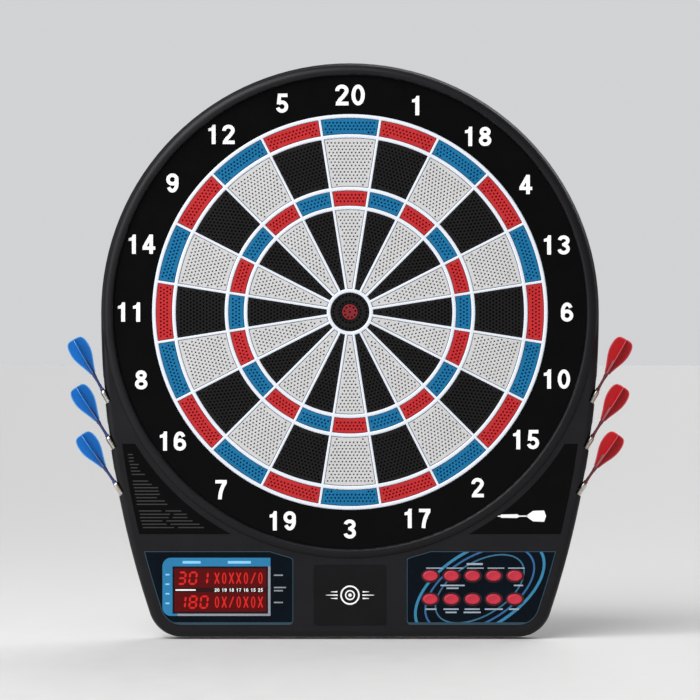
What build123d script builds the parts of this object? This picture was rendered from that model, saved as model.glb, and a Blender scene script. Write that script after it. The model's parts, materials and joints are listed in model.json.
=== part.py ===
from build123d import *

# An electronic soft-tip dartboard: a moulded housing with a scoring face of separate plastic
# segments, a console with a display and ten keys, and six darts stored in the housing's sides.
#
# Each part is drawn in the board's own frame, in millimetres: x to the right, y up and z out of the
# wall towards the player, from the wall plane behind the centre of the bull. FRONT turns that frame
# into the one that is written, where +Z is up and the playing face looks along -Y.

import math
import os

# ---------------------------------------------------------------- playing face
TARGET_R = 196.85        # outer edge of the scoring web: a 15.5 inch face
BULL_WALL_R = 21.2       # centre radii of the web's five ring walls
TREBLE_IN_R = 103.8
TREBLE_OUT_R = 122.8
DOUBLE_IN_R = 175.1
DOUBLE_OUT_R = 194.95
RING_WALL = 3.8
SPOKE_WALL = 2.6
INNER_BULL_R = 7.9
NUMBERS = [20, 1, 18, 4, 13, 6, 10, 15, 2, 17, 3, 19, 7, 16, 8, 11, 14, 9, 12, 5]
SECTOR = 360 / len(NUMBERS)

# ---------------------------------------------------------------- housing outline
HOUSING_R = 248.0        # round top
SIDE_R = 950.0           # long curve of each side below the middle
HOUSING_BOTTOM = 323.6
CORNER_R = 34.0
WALL = 2.8
EDGE_R = 7.0             # rounding of the front edge
BACK_EDGE_R = 4.0
RIDGE_IN_R = 235.5       # raised round ridge that frames the number ring
RIDGE_OUT_R = 246.5

# ---------------------------------------------------------------- depths from the wall, low and high
COVER_FLOOR = 2.5
SEAM = 10.0              # where the rear cover meets the front housing
BOARD_Z = (10.4, 13.4)
FOAM_Z = (13.4, 17.2)
MEMBRANE_Z = (17.2, 17.9)
RUBBER_Z = (17.9, 19.6)
LIP_Z = (21.0, 22.2)     # lip at the back of each segment
WEB_Z = (22.5, 32.0)
SEGMENT_FRONT = 31.5
PLATE_Z = (26.0, 28.5)   # front plate of the housing, behind the number ring
NUMBER_RING_Z = (28.5, 30.3)
FACE_Z = 33.0            # front of the console and of the lower corners
RIDGE_Z = 36.0
POCKET_Z = 29.6          # inner side of the console's front wall
OVERLAY_Z = (31.8, 33.0)
OVERLAP = 0.5            # how far fused features run into each other

# ---------------------------------------------------------------- segments and keys
GAP = 0.4                # between a moving segment or key and what guides it
LIP_CATCH = 0.6          # how far a segment's lip reaches behind the web
BUTTON_LIP = 1.3         # how far a key's lip stands out all round
SEGMENT_TRAVEL = 1.2     # how far a segment or a bull moves in when a dart presses it
SHELL = 1.7
SEGMENT_CAP = 4.0        # solid front of a hollow segment
BUTTON_COLUMNS = [80.0 + 21.0 * i for i in range(5)]
BUTTON_ROWS = [-262.4, -285.6]
BUTTON_RX = 7.6
BUTTON_RY = 5.2
BUTTON_FRONT = 34.6
BUTTON_LIP_Z = (28.0, 29.4)
PLUNGER_R = 1.8
PLUNGER_Z = 27.1
SWITCH_TOP = 26.2

# ---------------------------------------------------------------- console
PANEL_INSET = 12.0       # from the housing's edge to the overlays
PANEL_R = 250.5          # the overlays stop here, just outside the ridge
PANEL_TOP = -237.5
PANEL_SIDE = 56.0        # half the width of the plain middle of the console
PANEL_CORNER_R = 4.0
OVERLAY_GAP = 0.15
WINDOW = (-175.5, -82.5, -299.0, -254.0)        # left, right, bottom, top
WINDOW_Z = (28.4, 32.5)
WINDOW_FLANGE_TOP = 29.5
WINDOW_FLANGE = 2.4      # how far the flange stands out all round
BADGE = (0.0, -281.5, 72.0, 60.0)               # centre x, y, width, height
BADGE_Z = (32.2, 33.5)
LABEL_TOP = -131.0
LABEL_BOTTOM = -221.0
LABEL_DEPTH = 0.6

# ---------------------------------------------------------------- electronics
KEY_BOARD = (67.0, 177.0, -303.0, -245.0)
KEY_BOARD_Z = (22.0, 23.6)
DISPLAY_BOARD = (-184.5, -71.5, -308.0, -243.5)
DISPLAY_BOARD_Z = (20.4, 22.0)
MAIN_BOARD = (58.0, 184.5, -306.0, -245.0)
MAIN_BOARD_Z = (12.0, 13.6)
DISPLAY_MODULE_TOP = 28.0
SPEAKER_AT = (0.0, -277.0)
SPEAKER_R = 26.0
INLET_X = 150.0
INLET_Z = 18.2
INLET_NOSE_R = 4.6
INLET_BORE_R = 3.0
INLET_PIN_R = 1.0
INLET_BLOCK = (14.0, 13.0, 11.0)                # width, length inwards, height off the wall
INLET_BORE_DEPTH = 10.0

# ---------------------------------------------------------------- darts
DARTS = [(-82.0, 60.5), (-128.0, 58.0), (-174.0, 55.5)]    # entry height, lean above the horizontal
DART_Z = 22.5
TIP_LENGTH = 25.0
BARREL_LENGTH = 50.0
BARREL_SHOWN = 4.0       # how much of the barrel stands out of the housing
SHAFT_SHOWN = 20.0
FLIGHT_LENGTH = 39.0
FLIGHT_HALF = 10.5
FLIGHT_START = 2.8       # half width of a flight where it begins
VANE = 0.8
BARREL_R = 3.3
TIP_R = 1.1
SHAFT_R = 2.1
SOCKET_DEPTH = TIP_LENGTH + BARREL_LENGTH - BARREL_SHOWN
SOCKET_R = 3.7
SOCKET_OUT_R = 5.4
NOTCH_R = 8.0            # notch in the housing's edge that shows the end of each barrel
NOTCH_Z = 25.5
NOTCH_DEPTH = 9.0
COLLAR_R = 8.4           # collar that closes the inner end of the notch
COLLAR_THICK = 2.0
SOCKET_FLOOR = 3.0
SOCKET_ROOM = 40.0       # how far along each socket the housing's thick edge is cut away

# ---------------------------------------------------------------- fixings
PAD_R = 205.0            # foam, membrane and rubber
FLANGE_R = 206.0
BACKING_R = 216.0
BACKING_SCREW_R = 211.0
BACKING_SCREWS = 8
PEG_CIRCLE_R = 228.0
PEG_R = 1.6
PEGS = 10
SCREW_R = 1.5
HEAD_R = 3.1
HEAD_HEIGHT = 1.8
PILOT_R = 1.7            # pilot hole in a boss
CLEARANCE_R = 1.9        # hole that a screw passes through
COUNTERBORE_Z = 4.5
KEYHOLE_X = 100.0        # both keyholes lie behind the backing board
KEYHOLE_Y = 100.0
KEYHOLE_R = 5.0
KEYHOLE_SLOT = 2.4       # half the width of the slot above each keyhole
KEYHOLE_RISE = 11.0
GROOVE_RINGS = (92.0, 196.0)
GROOVE_WIDTH = 3.0
GROOVE_DEPTH = 0.8
LABEL_RECESS = (-45.0, 45.0, -28.0, 28.0)

FRONT = Plane(origin=(0, 0, 0), x_dir=(1, 0, 0), z_dir=(0, -1, 0))


# ---------------------------------------------------------------- drawing helpers
def slab(face, low, high):
    """A flat shape of the board's plane, given thickness between two depths."""
    return Pos(0, 0, low) * extrude(face, amount=high - low)


def disc(radius, low, high, at=(0, 0)):
    return slab(Pos(*at) * Circle(radius), low, high)


def ring(inner, outer, low, high, at=(0, 0)):
    return slab(Pos(*at) * (Circle(outer) - Circle(inner)), low, high)


def rectangle(box, grow=0.0):
    left, right, bottom, top = box
    centre = Pos((left + right) / 2, (bottom + top) / 2)
    return centre * Rectangle(right - left + 2 * grow, top - bottom + 2 * grow)


def polar(radius, degrees):
    """A point at a radius, at an angle measured clockwise from straight up."""
    angle = math.radians(degrees)
    return (radius * math.sin(angle), radius * math.cos(angle))


def rod(start, direction, length, radius, end_radius=None):
    """A round bar, or a taper, that starts at a point and runs along a direction."""
    place = Plane(origin=start, x_dir=(0, 0, 1), z_dir=direction) * Pos(0, 0, length / 2)
    if end_radius is None:
        return place * Cylinder(radius, length)
    return place * Cone(radius, end_radius, length)


def outline(inset=0.0):
    """The housing's outline, moved inwards: a round top, two long side curves and a flat bottom."""
    across = SIDE_R - HOUSING_R
    bottom = HOUSING_BOTTOM - inset
    width = 3 * HOUSING_R
    lower = (Pos(-across, 0) * Circle(SIDE_R - inset)) & (Pos(across, 0) * Circle(SIDE_R - inset))
    lower = lower & (Pos(0, -bottom / 2) * Rectangle(width, bottom))
    lower = fillet(lower.vertices().sort_by(Axis.Y)[:2], CORNER_R - inset)
    upper = Circle(HOUSING_R - inset) & (Pos(0, width / 2) * Rectangle(width, width))
    return lower + upper


def side_x(y):
    """Half the housing's width at a height below the middle."""
    return math.sqrt(SIDE_R ** 2 - y ** 2) - (SIDE_R - HOUSING_R)


# ---------------------------------------------------------------- scoring face
CELL_RINGS = [(BULL_WALL_R, TREBLE_IN_R), (TREBLE_IN_R, TREBLE_OUT_R),
              (TREBLE_OUT_R, DOUBLE_IN_R), (DOUBLE_IN_R, DOUBLE_OUT_R)]


def wedge(degrees, offset):
    """The area between two neighbouring radial walls, kept clear of their centre lines."""
    half = SECTOR / 2
    reach = 2 * HOUSING_R
    apex = Vector(*polar(offset / math.sin(math.radians(half)), degrees))
    left = apex + Vector(*polar(reach, degrees - half))
    right = apex + Vector(*polar(reach, degrees + half))
    return make_face(Polyline(apex, left, right, close=True))


def cell(degrees, inner, outer, clear):
    """One cell of the web between two ring walls, shrunk on all sides by a clearance."""
    annulus = Circle(outer - RING_WALL / 2 - clear) - Circle(inner + RING_WALL / 2 + clear)
    return annulus & wedge(degrees, SPOKE_WALL / 2 + clear)


def segment(degrees, inner, outer):
    """A hollow scoring segment with a lip at its back, which keeps it from falling forwards."""
    body = slab(cell(degrees, inner, outer, GAP), LIP_Z[0], SEGMENT_FRONT)
    lip = slab(cell(degrees, inner, outer, -LIP_CATCH), *LIP_Z)
    hollow = slab(cell(degrees, inner, outer, GAP + SHELL), LIP_Z[0], SEGMENT_FRONT - SEGMENT_CAP)
    return (body + lip - hollow).solid()


def sector(place):
    """The four segments of one number: inner single, treble, outer single and double."""
    return Compound([segment(place * SECTOR, inner, outer) for inner, outer in CELL_RINGS])


def outer_bull():
    edge = BULL_WALL_R - RING_WALL / 2 - GAP
    body = ring(INNER_BULL_R + GAP, edge, LIP_Z[0], SEGMENT_FRONT)
    lip = ring(INNER_BULL_R + GAP, edge + GAP + LIP_CATCH, *LIP_Z)
    seat = disc(INNER_BULL_R + LIP_CATCH + 2 * GAP, LIP_Z[0], LIP_Z[1] + GAP + SEGMENT_TRAVEL)
    return (body + lip - seat).solid()


def inner_bull():
    body = disc(INNER_BULL_R, LIP_Z[0], SEGMENT_FRONT)
    lip = disc(INNER_BULL_R + LIP_CATCH, *LIP_Z)
    hollow = disc(INNER_BULL_R - SHELL, LIP_Z[0], SEGMENT_FRONT - SEGMENT_CAP)
    return (body + lip - hollow).solid()


def scoring_web():
    """The one-piece web: five ring walls, twenty radial walls, a flange and a clamping skirt."""
    face = Circle(TARGET_R) - Circle(BULL_WALL_R - RING_WALL / 2)
    cells = [cell(i * SECTOR, inner, outer, 0)
             for i in range(len(NUMBERS)) for inner, outer in CELL_RINGS]
    walls = slab(face - cells, *WEB_Z)
    flange = ring(TARGET_R - RING_WALL, FLANGE_R, WEB_Z[0], PLATE_Z[0])
    skirt = ring(FLANGE_R - 6, FLANGE_R, RUBBER_Z[1], WEB_Z[0] + OVERLAP)
    return (walls + flange + skirt).solid()


def peg_places():
    return [polar(PEG_CIRCLE_R, (i + 0.5) * 360 / PEGS) for i in range(PEGS)]


def number_ring():
    """The flat ring that carries the numbers, with pegs that locate it on the housing."""
    plate = ring(TARGET_R + 0.5, RIDGE_IN_R - GAP, *NUMBER_RING_Z)
    for at in peg_places():
        plate += disc(PEG_R, PLATE_Z[0] + OVERLAP, NUMBER_RING_Z[0] + OVERLAP, at)
    return plate.solid()


def switch_membrane():
    """The printed switch sheet behind the segments, with the tail that leads its tracks out."""
    tail = Pos(-20, -PAD_R) * Rectangle(34, 16)
    return slab(Circle(PAD_R) + tail, *MEMBRANE_Z).solid()


def backing_screw_places():
    return [polar(BACKING_SCREW_R, (i + 0.5) * 360 / BACKING_SCREWS) for i in range(BACKING_SCREWS)]


def backing_board():
    board = disc(BACKING_R, *BOARD_Z)
    for at in backing_screw_places():
        board -= disc(CLEARANCE_R, *BOARD_Z, at)
    return board.solid()


# ---------------------------------------------------------------- console shapes
def panel_face(side, inset=0.0):
    """An overlay's outline: side is -1 for the display and 1 for the keys."""
    inner = PANEL_SIDE + inset
    face = outline(PANEL_INSET + inset) - Circle(PANEL_R + inset)
    keep = Pos(side * (inner + HOUSING_R), PANEL_TOP - inset - HOUSING_R)
    face = face & (keep * Rectangle(2 * HOUSING_R, 2 * HOUSING_R))
    corners = [v for v in face.vertices() if abs(abs(v.X) - inner) < 0.01]
    return fillet(corners, PANEL_CORNER_R)


def label_face(side):
    """The sunk three-sided label between the round ridge and the side of the housing."""
    face = outline(PANEL_INSET) - Circle(PANEL_R)
    middle = Pos(side * HOUSING_R / 2, (LABEL_TOP + LABEL_BOTTOM) / 2)
    return face & (middle * Rectangle(HOUSING_R, LABEL_TOP - LABEL_BOTTOM))


def badge_face(gap=0.0):
    x, y, width, height = BADGE
    return Pos(x, y) * RectangleRounded(width - 2 * gap, height - 2 * gap, 3)


def button_places():
    return [(x, y) for y in BUTTON_ROWS for x in BUTTON_COLUMNS]


def button_hole(at):
    return Pos(*at) * Ellipse(BUTTON_RX + GAP, BUTTON_RY + GAP)


def corner_places(box, inset):
    left, right, bottom, top = box
    return [(x, y) for x in (left + inset, right - inset) for y in (bottom + inset, top - inset)]


def key_board_screws():
    return corner_places(KEY_BOARD, 4)


def display_board_screws():
    return corner_places(DISPLAY_BOARD, 3.5)


def main_board_screws():
    left, right, bottom, top = MAIN_BOARD
    return [(x, y) for x in (left + 4, right - 3.8) for y in (bottom + 6, top - 6)]


# ---------------------------------------------------------------- darts
def dart_axis(side, y, lean):
    """Where a dart enters the housing's side, and the way it is pulled out."""
    angle = math.radians(lean)
    out = Vector(side * math.cos(angle), math.sin(angle), 0)
    return Vector(side * side_x(y), y, DART_Z), out


def dart_socket(side, y, lean):
    """A blind tube moulded to take one dart, with a collar at the inner end of its notch."""
    entry, out = dart_axis(side, y, lean)
    bore = SOCKET_DEPTH + GAP
    mouth = entry - out * (NOTCH_DEPTH + GAP)
    collar = rod(mouth - out * COLLAR_THICK, out, COLLAR_THICK, COLLAR_R)
    collar = collar & slab(outline(WALL + GAP), SEAM, PLATE_Z[0] - GAP)
    length = bore + SOCKET_FLOOR
    tube = rod(entry - out * length, out, length - NOTCH_DEPTH - GAP, SOCKET_OUT_R)
    tube = tube + collar - rod(entry - out * bore, out, bore, SOCKET_R)
    return (tube & slab(outline(), SEAM, FACE_Z)).solid()


def notch(side, y, lean):
    """The cut in the housing's front edge for one dart: the notch, and room for the socket's tube."""
    entry, out = dart_axis(side, y, lean)
    outside = 20.0
    wide = entry - out * NOTCH_DEPTH + Vector(0, 0, NOTCH_Z - DART_Z)
    cut = rod(wide, out, NOTCH_DEPTH + outside, NOTCH_R)
    return cut + rod(entry - out * SOCKET_ROOM, out, SOCKET_ROOM + outside, SOCKET_OUT_R + 0.2)


def flight_face():
    """The outline of one flight, along +X from its narrow end: slim, then full, then rounded off."""
    start = (0, FLIGHT_START)
    end = (FLIGHT_LENGTH, 0.25 * FLIGHT_HALF)
    half = Spline(start, (0.3 * FLIGHT_LENGTH, 0.62 * FLIGHT_HALF),
                  (0.66 * FLIGHT_LENGTH, FLIGHT_HALF), (0.93 * FLIGHT_LENGTH, 0.75 * FLIGHT_HALF),
                  end, tangents=[(1, 0.25), (0.2, -1)])
    upper = make_face([half, Line(end, (FLIGHT_LENGTH, 0)), Line((FLIGHT_LENGTH, 0), (0, 0)),
                       Line((0, 0), start)])
    return upper + mirror(upper, about=Plane.XZ)


def dart(side, y, lean):
    """A soft-tip dart: tip, barrel, shaft and a flight of four vanes."""
    entry, out = dart_axis(side, y, lean)
    barrel_end = entry + out * BARREL_SHOWN
    shaft_length = SHAFT_SHOWN + FLIGHT_LENGTH / 2
    body = rod(entry - out * SOCKET_DEPTH, out, TIP_LENGTH + OVERLAP, 0.5, TIP_R)
    body += rod(barrel_end - out * BARREL_LENGTH, out, BARREL_LENGTH, BARREL_R)
    body += rod(barrel_end - out * OVERLAP, out, shaft_length, SHAFT_R)
    flight_start = barrel_end + out * SHAFT_SHOWN
    for turn in (0, 90):
        place = Plane(origin=flight_start, x_dir=out, z_dir=(0, 0, 1)) * Rot(turn, 0, 0)
        body += place * slab(flight_face(), -VANE / 2, VANE / 2)
    return body.solid()


# ---------------------------------------------------------------- housing
def cover_screw_places():
    """Places of the rear cover's screws: round the top, at the sides and in the console."""
    around = [polar(HOUSING_R - 12, angle) for angle in (-72, -36, 0, 36, 72)]
    low = [(side * x, y) for side in (-1, 1) for x, y in ((226, -60), (190, -262), (40, -308))]
    return around + low


def round_ridge():
    """The raised rounded rim that frames the number ring."""
    low = PLATE_Z[0] + OVERLAP
    inner_top = (RIDGE_IN_R, 33.4)
    crown = (RIDGE_IN_R + 3.2, RIDGE_Z)
    outer_low = (RIDGE_OUT_R, 29.8)
    profile = make_face([
        Line((RIDGE_IN_R, low), inner_top),
        ThreePointArc(inner_top, (RIDGE_IN_R + 0.9, 35.3), crown),
        ThreePointArc(crown, (243.9, 34.3), outer_low),
        Line(outer_low, (RIDGE_OUT_R - 1.5, low)),
        Line((RIDGE_OUT_R - 1.5, low), (RIDGE_IN_R, low)),
    ])
    return revolve(Plane.XZ * profile, axis=Axis.Z)


def inlet_nose(gap=0.0):
    """The round nose of the power inlet, through the housing's bottom edge."""
    inside = Vector(INLET_X, WALL - HOUSING_BOTTOM + OVERLAP, INLET_Z)
    return rod(inside, Vector(0, -1, 0), WALL + OVERLAP, INLET_NOSE_R + gap)


def front_shell():
    """The housing's skin: outer walls, front plate, ridge and the console's front wall."""
    body = slab(outline(), SEAM, FACE_Z)
    body = fillet(body.faces().sort_by(Axis.Z)[-1].edges(), EDGE_R)
    body -= disc(RIDGE_IN_R + 3, PLATE_Z[1], FACE_Z + 1)
    body += round_ridge()
    body -= slab(outline(WALL), SEAM, PLATE_Z[0])
    body -= slab(outline(9.0) - Circle(RIDGE_OUT_R + 2), PLATE_Z[0] - OVERLAP, POCKET_Z)
    return body - disc(TARGET_R + 0.7, SEAM, FACE_Z)


def front_openings():
    """Everything that is cut through or into the front shell."""
    cuts = [slab(panel_face(side), OVERLAY_Z[0], FACE_Z + 1) for side in (-1, 1)]
    cuts += [slab(label_face(side), FACE_Z - LABEL_DEPTH, FACE_Z + 1) for side in (-1, 1)]
    cuts += [slab(rectangle(WINDOW, 0.5), POCKET_Z - 1, FACE_Z)]
    cuts += [slab(badge_face(), BADGE_Z[0], FACE_Z + 1)]
    cuts += [slab(button_hole(at), POCKET_Z - 1, FACE_Z) for at in button_places()]
    cuts += [disc(PEG_R + 0.2, PLATE_Z[0] - 1, PLATE_Z[1] + 1, at) for at in peg_places()]
    cuts += [notch(side, y, lean) for side in (-1, 1) for y, lean in DARTS]
    cuts.append(inlet_nose(0.2))
    return cuts


def front_bosses():
    """Screw posts that hang from the front wall."""
    bosses = [ring(PILOT_R, 3.8, BOARD_Z[1], PLATE_Z[0] + OVERLAP, at) for at in backing_screw_places()]
    bosses += [ring(PILOT_R, 4.2, SEAM + 0.4, PLATE_Z[0] + OVERLAP, at) for at in cover_screw_places()]
    for places, radius, low in ((main_board_screws(), 3.1, MAIN_BOARD_Z[1]),
                                (key_board_screws(), 2.8, KEY_BOARD_Z[1]),
                                (display_board_screws(), 2.8, DISPLAY_BOARD_Z[1])):
        bosses += [ring(PILOT_R, radius, low, POCKET_Z + OVERLAP, at) for at in places]
    return bosses


def front_housing():
    body = front_shell() - front_openings() + front_bosses()
    return body.solids().sort_by(SortBy.VOLUME)[-1]


def keyhole_face(x):
    """A round entry with a narrower slot above it, for the head and neck of a wall screw."""
    slot = Pos(x, KEYHOLE_Y + KEYHOLE_RISE / 2) * Rectangle(2 * KEYHOLE_SLOT, KEYHOLE_RISE)
    top = Pos(x, KEYHOLE_Y + KEYHOLE_RISE) * Circle(KEYHOLE_SLOT)
    return Pos(x, KEYHOLE_Y) * Circle(KEYHOLE_R) + slot + top


def grille_places():
    """A round field of small holes in front of the speaker."""
    pitch = 6.0
    steps = range(-3, 4)
    return [(SPEAKER_AT[0] + pitch * i, SPEAKER_AT[1] + pitch * j)
            for i in steps for j in steps if math.hypot(i, j) < 3.3]


def cover_seats():
    """The posts of the cover's screws and the wall round the speaker."""
    low = COVER_FLOOR - OVERLAP
    seats = [disc(5.2, low, SEAM + 0.3, at) for at in cover_screw_places()]
    seats.append(ring(SPEAKER_R + 0.4, SPEAKER_R + 2.4, low, 6.0, SPEAKER_AT))
    return seats


def cover_grooves():
    """Shallow moulded grooves in the back of the cover: two rings, eight bars and a label's recess."""
    inner, outer = GROOVE_RINGS
    half = GROOVE_WIDTH / 2
    grooves = [ring(radius - half, radius + half, 0, GROOVE_DEPTH) for radius in GROOVE_RINGS]
    for i in range(8):
        bar = slab(rectangle((inner, outer, -half, half)), 0, GROOVE_DEPTH)
        grooves.append(Rot(0, 0, 45 * i + 22.5) * bar)
    left, right, bottom, top = LABEL_RECESS
    label = Pos((left + right) / 2, (bottom + top) / 2) * RectangleRounded(right - left, top - bottom, 4)
    grooves.append(slab(label, 0, GROOVE_DEPTH))
    return grooves


def rear_cover():
    body = slab(outline(), 0, SEAM)
    body = fillet(body.faces().sort_by(Axis.Z)[0].edges(), BACK_EDGE_R)
    body -= slab(outline(WALL), COVER_FLOOR, SEAM)
    body += slab(outline(WALL + 0.3) - outline(WALL + 2.1), COVER_FLOOR - OVERLAP, SEAM + 2)
    body = body + cover_seats() - cover_grooves()
    for at in cover_screw_places():
        body -= disc(CLEARANCE_R, 0, SEAM + 1, at)
        body -= disc(HEAD_R + 0.4, 0, COUNTERBORE_Z, at)
    for x in (-KEYHOLE_X, KEYHOLE_X):
        body -= slab(keyhole_face(x), 0, COVER_FLOOR)
    body -= [disc(1.5, 0, COVER_FLOOR, at) for at in grille_places()]
    return body.solids().sort_by(SortBy.VOLUME)[-1]


# ---------------------------------------------------------------- console pieces
def display_overlay():
    face = panel_face(-1, OVERLAY_GAP) - rectangle(WINDOW, 0.5)
    return slab(face, *OVERLAY_Z).solid()


def key_overlay():
    face = panel_face(1, OVERLAY_GAP) - [button_hole(at) for at in button_places()]
    return slab(face, *OVERLAY_Z).solid()


def display_window():
    """A smoked window with a flange that bears on the back of the console's front wall."""
    pane = slab(rectangle(WINDOW, 0.3), *WINDOW_Z)
    flange = slab(rectangle(WINDOW, WINDOW_FLANGE), WINDOW_Z[0], WINDOW_FLANGE_TOP)
    return (pane + flange).solid()


def display_module():
    return slab(rectangle(WINDOW, 1.0), DISPLAY_BOARD_Z[1], DISPLAY_MODULE_TOP).solid()


def circuit_board(box, depths, screw_places):
    board = slab(rectangle(box), *depths)
    return board - [disc(CLEARANCE_R, *depths, at) for at in screw_places]


def key_board():
    """The key board with ten small switches soldered to its front."""
    board = circuit_board(KEY_BOARD, KEY_BOARD_Z, key_board_screws())
    base = KEY_BOARD_Z[1]
    for x, y in button_places():
        board += slab(Pos(x, y) * Rectangle(6, 6), base - OVERLAP, base + 1.6)
        board += disc(1.75, base, SWITCH_TOP, (x, y))
    return board.solid()


def main_board():
    """The main board with its processor, a capacitor, a crystal and three connectors."""
    board = circuit_board(MAIN_BOARD, MAIN_BOARD_Z, main_board_screws())
    low = MAIN_BOARD_Z[1] - OVERLAP
    for x, y, width, height, thickness in ((120, -272, 22, 22, 2.2), (92, -262, 9, 14, 2.0),
                                           (150, -258, 12, 5, 3.6), (76, -296, 16, 6, 5.0),
                                           (108, -299, 20, 6, 5.0), (172, -270, 6, 16, 5.0)):
        board += slab(Pos(x, y) * Rectangle(width, height), low, low + thickness)
    board += disc(4.0, low, low + 7.0, (142, -290))
    return board.solid()


def speaker():
    """A small loudspeaker that faces backwards through the cover's grille."""
    rim = disc(SPEAKER_R, COVER_FLOOR, 4.5, SPEAKER_AT)
    basket = Pos(*SPEAKER_AT, 4.5 + 4.5) * Cone(SPEAKER_R - 2, 14, 9)
    magnet = disc(16, 13.5, 19.5, SPEAKER_AT)
    throat = Pos(*SPEAKER_AT, COVER_FLOOR + 3) * Cone(SPEAKER_R - 4, 8, 6)
    return (rim + basket + magnet - throat).solid()


def power_inlet():
    """A round low-voltage inlet: a block behind the wall, a nose through it and a centre pin."""
    wall_inside = WALL - HOUSING_BOTTOM
    width, length, height = INLET_BLOCK
    base = rectangle((INLET_X - width / 2, INLET_X + width / 2, wall_inside, wall_inside + length))
    block = slab(base, INLET_Z - height / 2, INLET_Z + height / 2)
    mouth = Vector(INLET_X, -HOUSING_BOTTOM, INLET_Z)
    inward = Vector(0, 1, 0)
    body = block + inlet_nose()
    body -= rod(mouth, inward, INLET_BORE_DEPTH, INLET_BORE_R)
    body += rod(mouth + inward, inward, INLET_BORE_DEPTH - OVERLAP, INLET_PIN_R)
    return body.solid()


def centre_badge():
    return slab(badge_face(OVERLAY_GAP), *BADGE_Z).solid()


def button(at):
    x, y = at
    body = slab(Pos(x, y) * Ellipse(BUTTON_RX, BUTTON_RY), BUTTON_LIP_Z[0], BUTTON_FRONT)
    body = fillet(body.faces().sort_by(Axis.Z)[-1].edges(), 1.2)
    body += slab(Pos(x, y) * Ellipse(BUTTON_RX + BUTTON_LIP, BUTTON_RY + BUTTON_LIP), *BUTTON_LIP_Z)
    body += disc(PLUNGER_R, PLUNGER_Z, BUTTON_LIP_Z[0] + OVERLAP, at)
    return body.solid()


def flat_cables():
    """Ribbon cables: switch sheet to main board, display to main board and keys to main board."""
    def strip(box, low, high):
        return slab(rectangle(box), low, high)
    membrane_lead = strip((-34, -6, -240, -213.3), 17.2, 18.0)
    display_lead = strip((-71.2, 57.7, -252, -246), 20.6, 21.2)
    display_lead += strip((-33, -27, -246.5, -240.3), 20.6, 21.2)
    key_lead = strip((58.5, 66.7, -290, -270), 14.2, 14.8) + strip((65.9, 66.7, -290, -270), 14.2, 23.0)
    return Compound([membrane_lead.solid(), display_lead.solid(), key_lead.solid()])


# ---------------------------------------------------------------- screws
def screw(at, seat, length):
    """A pan-head screw driven forwards: its head's top rests at the seat."""
    x, y = at
    head = disc(HEAD_R, seat - HEAD_HEIGHT, seat, at)
    head = fillet(head.faces().sort_by(Axis.Z)[0].edges(), 0.8)
    shank = disc(SCREW_R, seat - OVERLAP, seat + length, at)
    slot = slab(Pos(x, y) * Rectangle(3.6, 0.9), seat - HEAD_HEIGHT, seat - HEAD_HEIGHT + 0.8)
    cross = slab(Pos(x, y) * Rectangle(0.9, 3.6), seat - HEAD_HEIGHT, seat - HEAD_HEIGHT + 0.8)
    return (head + shank - slot - cross).solid()


def cover_screws():
    return Compound([screw(at, COUNTERBORE_Z, 16) for at in cover_screw_places()])


def inner_screws():
    """The screws of the backing board and of the three circuit boards."""
    screws = [screw(at, BOARD_Z[0], 12) for at in backing_screw_places()]
    screws += [screw(at, MAIN_BOARD_Z[0], 10) for at in main_board_screws()]
    screws += [screw(at, KEY_BOARD_Z[0], 6) for at in key_board_screws()]
    screws += [screw(at, DISPLAY_BOARD_Z[0], 7) for at in display_board_screws()]
    return Compound(screws)


# ---------------------------------------------------------------- the whole board
def all_parts():
    parts = {
        "front_housing": front_housing(),
        "rear_cover": rear_cover(),
        "number_ring": number_ring(),
        "scoring_web": scoring_web(),
        "rubber_sheet": disc(PAD_R, *RUBBER_Z),
        "switch_membrane": switch_membrane(),
        "foam_pad": disc(PAD_R, *FOAM_Z),
        "backing_board": backing_board(),
        "outer_bull": outer_bull(),
        "inner_bull": inner_bull(),
        "display_overlay": display_overlay(),
        "key_overlay": key_overlay(),
        "display_window": display_window(),
        "display_module": display_module(),
        "display_board": circuit_board(DISPLAY_BOARD, DISPLAY_BOARD_Z, display_board_screws()).solid(),
        "key_board": key_board(),
        "main_board": main_board(),
        "speaker": speaker(),
        "power_inlet": power_inlet(),
        "centre_badge": centre_badge(),
        "flat_cables": flat_cables(),
        "cover_screws": cover_screws(),
        "inner_screws": inner_screws(),
        "dart_sockets": Compound([dart_socket(side, *place) for side in (-1, 1) for place in DARTS]),
    }
    for place, number in enumerate(NUMBERS):
        parts[f"segments_{number:02d}"] = sector(place)
    for i, at in enumerate(button_places(), start=1):
        parts[f"button_{i:02d}"] = button(at)
    for side, colour in ((-1, "blue"), (1, "red")):
        for i, place in enumerate(DARTS, start=1):
            parts[f"dart_{colour}_{i}"] = dart(side, *place)
    return parts


os.makedirs("parts", exist_ok=True)
for name, shape in all_parts().items():
    export_step(FRONT * shape, f"parts/{name}.step")
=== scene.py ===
"""Looks of the electronic dartboard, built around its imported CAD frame.

Pieces are drawn in the board's own frame, in millimetres: x to the right, y up and d, the distance
from the wall, towards the player. place() turns that into the frame's metres.
"""

import json
import math

import bmesh
import bpy
from mathutils import Matrix, Vector
from mathutils.geometry import delaunay_2d_cdt, interpolate_bezier


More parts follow.
